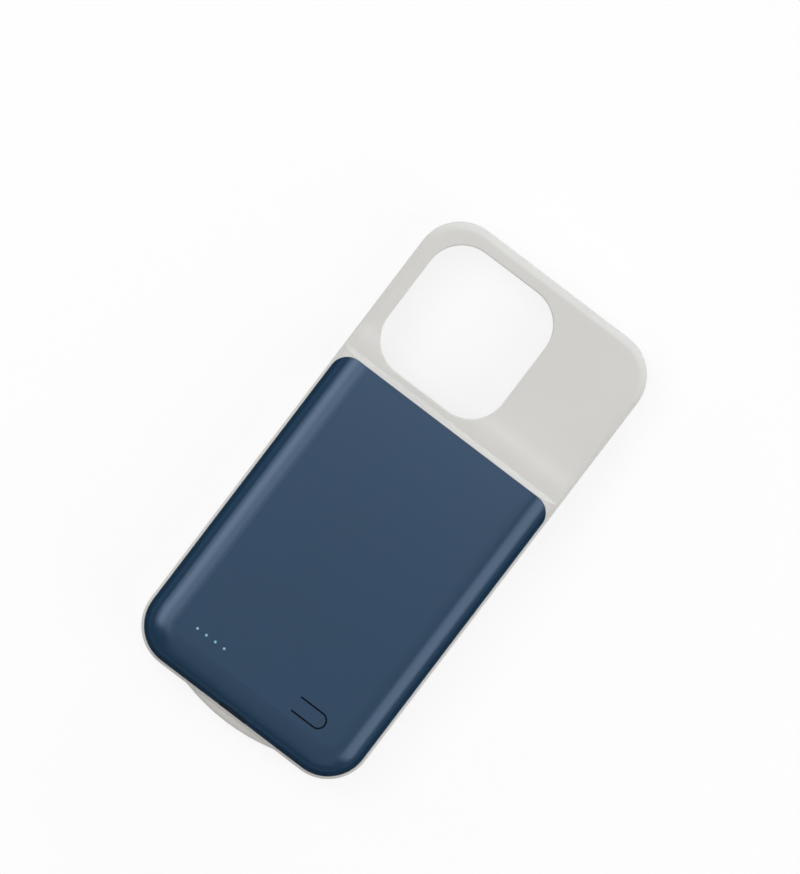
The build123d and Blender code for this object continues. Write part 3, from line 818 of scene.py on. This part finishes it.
plugSides = [plugProfile(1), plugProfile(-1)]
plugUnit = barMesh("plugFinger", plugSides, plugFinger["width"], plugFinger["bevel"])
plugGrid = {**fingerGrid, "Centre": tuple(plugSpot)}
plugContacts = setOut("plugContacts", plugUnit, goldSkin, plugGrid)
for piece in (socketContacts, plugContacts):
    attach(piece, "case")
print("repeated pieces done")


# Studio: floor, lamps and camera

studio = {
    "floorSize": 12.0,
    "floorDrop": 0.00002,  # keeps the floor clear of the rim that rests on it
    "floorColour": (0.80, 0.80, 0.80, 1.0),
    "floorMirrored": (0.03, 0.03, 0.03, 1.0),  # in a reflection from close by, where the object shades it
    "floorSeen": (0.95, 0.95, 0.95, 1.0),
    "whiteShare": 0.8,
    "nearReach": {"From Min": 0.06, "From Max": 0.60},  # from the shaded floor to the white ground
    "ambient": 0.12,
}
# mirrored False: the lamp lights the object but shows in no reflection; lights False: the other way round
lamps = {
    "leftStrip": {"place": (-0.84, 0.00, 0.93), "size": (1.2, 0.44), "power": 4.5},
    "leftFill": {"place": (-0.43, 0.05, 1.08), "size": (1.1, 0.42), "power": 1.8},
    "rightStrip": {"place": (0.96, 0.10, 0.73), "size": (1.1, 0.78), "power": 4.9},
    "dome": {"place": (0.10, -0.22, 1.00), "size": (0.9, 2.12), "power": 2.25, "lights": False},
    "topSoft": {"place": (0.00, 0.30, 0.45), "size": (0.5, 0.55), "power": 1.5, "lights": False},
    "headSoft": {"place": (0.00, 1.30, 0.22), "size": (1.8, 0.40), "power": 13.6, "mirrored": False,
                 "colour": (0.92, 0.99, 1.04)},
    "skySoft": {"place": (0.00, -0.05, 1.25), "size": (1.0, 1.0), "power": 1.9, "mirrored": False},
    "footSoft": {"place": (0.00, -0.80, 0.80), "size": (1.2, 0.40), "power": 2.4, "mirrored": False},
    "leftLow": {"place": (-1.20, 0.10, 0.26), "size": (1.2, 0.40), "power": 3.9, "mirrored": False},
    "rightLow": {"place": (1.20, 0.10, 0.26), "size": (1.2, 0.40), "power": 3.6, "mirrored": False},
}
view = {
    "aim": (-0.00946, 0.01613, 0.010), "distance": 3.0, "turn": 37.28, "frameHeight": 0.24516,
    "clipEnd": 50.0,
}


def layFloor():
    half, low = studio["floorSize"] / 2, -studio["floorDrop"]
    corners = [(-half, -half, low), (half, -half, low), (half, half, low), (-half, half, low)]
    mesh = bpy.data.meshes.new("studioFloor")
    mesh.from_pydata(corners, [], [(0, 1, 2, 3)])
    floor = bpy.data.objects.new("studioFloor", mesh)
    scene.collection.objects.link(floor)
    material = bpy.data.materials.new("studioFloor")
    material.use_nodes = True
    tree = material.node_tree
    tree.nodes.clear()
    mirrorShare, _, _, lit = mixColours(tree, studio["floorColour"], studio["floorMirrored"])
    seenShare, unseen, _, colour = mixColours(tree, second=studio["floorSeen"])
    matt = addNode(tree, "ShaderNodeBsdfDiffuse")
    ground = addNode(tree, "ShaderNodeEmission", {"Color": white, "Strength": 1.0})
    path = addNode(tree, "ShaderNodeLightPath")
    mirrored = addNode(tree, "ShaderNodeMath", operation="MAXIMUM")
    far = addNode(tree, "ShaderNodeMapRange", studio["nearReach"])
    mirroredFar = addNode(tree, "ShaderNodeMath", operation="MULTIPLY")
    seen = addNode(tree, "ShaderNodeMath", operation="MAXIMUM")
    share = addNode(tree, "ShaderNodeMath", {1: studio["whiteShare"]}, operation="MULTIPLY")
    mix = addNode(tree, "ShaderNodeMixShader")
    out = addNode(tree, "ShaderNodeOutputMaterial")
    wire(
        tree,
        (path.outputs["Is Glossy Ray"], mirrored.inputs[0]),
        (path.outputs["Is Transmission Ray"], mirrored.inputs[1]),
        (path.outputs["Ray Length"], far.inputs["Value"]),
        (mirrored.outputs[0], mirroredFar.inputs[0]),
        (far.outputs["Result"], mirroredFar.inputs[1]),
        (path.outputs["Is Camera Ray"], seen.inputs[0]),
        (mirroredFar.outputs[0], seen.inputs[1]),
        (mirrored.outputs[0], mirrorShare),
        (lit, unseen),
        (path.outputs["Is Camera Ray"], seenShare),
        (colour, matt.inputs["Color"]),
        (seen.outputs[0], share.inputs[0]),
        (share.outputs[0], mix.inputs["Fac"]),
        (matt.outputs["BSDF"], mix.inputs[1]),
        (ground.outputs["Emission"], mix.inputs[2]),
        (mix.outputs["Shader"], out.inputs["Surface"]),
    )
    mesh.materials.append(material)


def hangLamps():
    for name, lamp in lamps.items():
        data = bpy.data.lights.new(name, "AREA")
        data.shape = "RECTANGLE"
        data.size, data.size_y = lamp["size"]
        data.energy = lamp["power"]
        data.color = lamp.get("colour", white[:3])
        light = bpy.data.objects.new(name, data)
        light.location = lamp["place"]
        light.rotation_euler = Vector(lamp["place"]).to_track_quat("Z", "Y").to_euler()
        light.visible_camera = False
        light.visible_glossy = lamp.get("mirrored", True)
        light.visible_diffuse = lamp.get("lights", True)
        scene.collection.objects.link(light)
    world = bpy.data.worlds.new("studioAir")
    world.use_nodes = True
    air = world.node_tree.nodes["Background"]
    air.inputs["Color"].default_value = white
    air.inputs["Strength"].default_value = studio["ambient"]
    scene.world = world


def placeCamera():
    data = bpy.data.cameras.new("viewFromAbove")
    # the sensor's width spans the image's height
    data.lens = data.sensor_width * view["distance"] / view["frameHeight"]
    data.clip_end = view["clipEnd"]
    camera = bpy.data.objects.new("viewFromAbove", data)
    camera.location = Vector(view["aim"]) + Vector((0, 0, view["distance"]))
    camera.rotation_euler = (0.0, 0.0, math.radians(view["turn"]))
    scene.collection.objects.link(camera)
    scene.camera = camera


layFloor()
hangLamps()
placeCamera()
print("studio done")
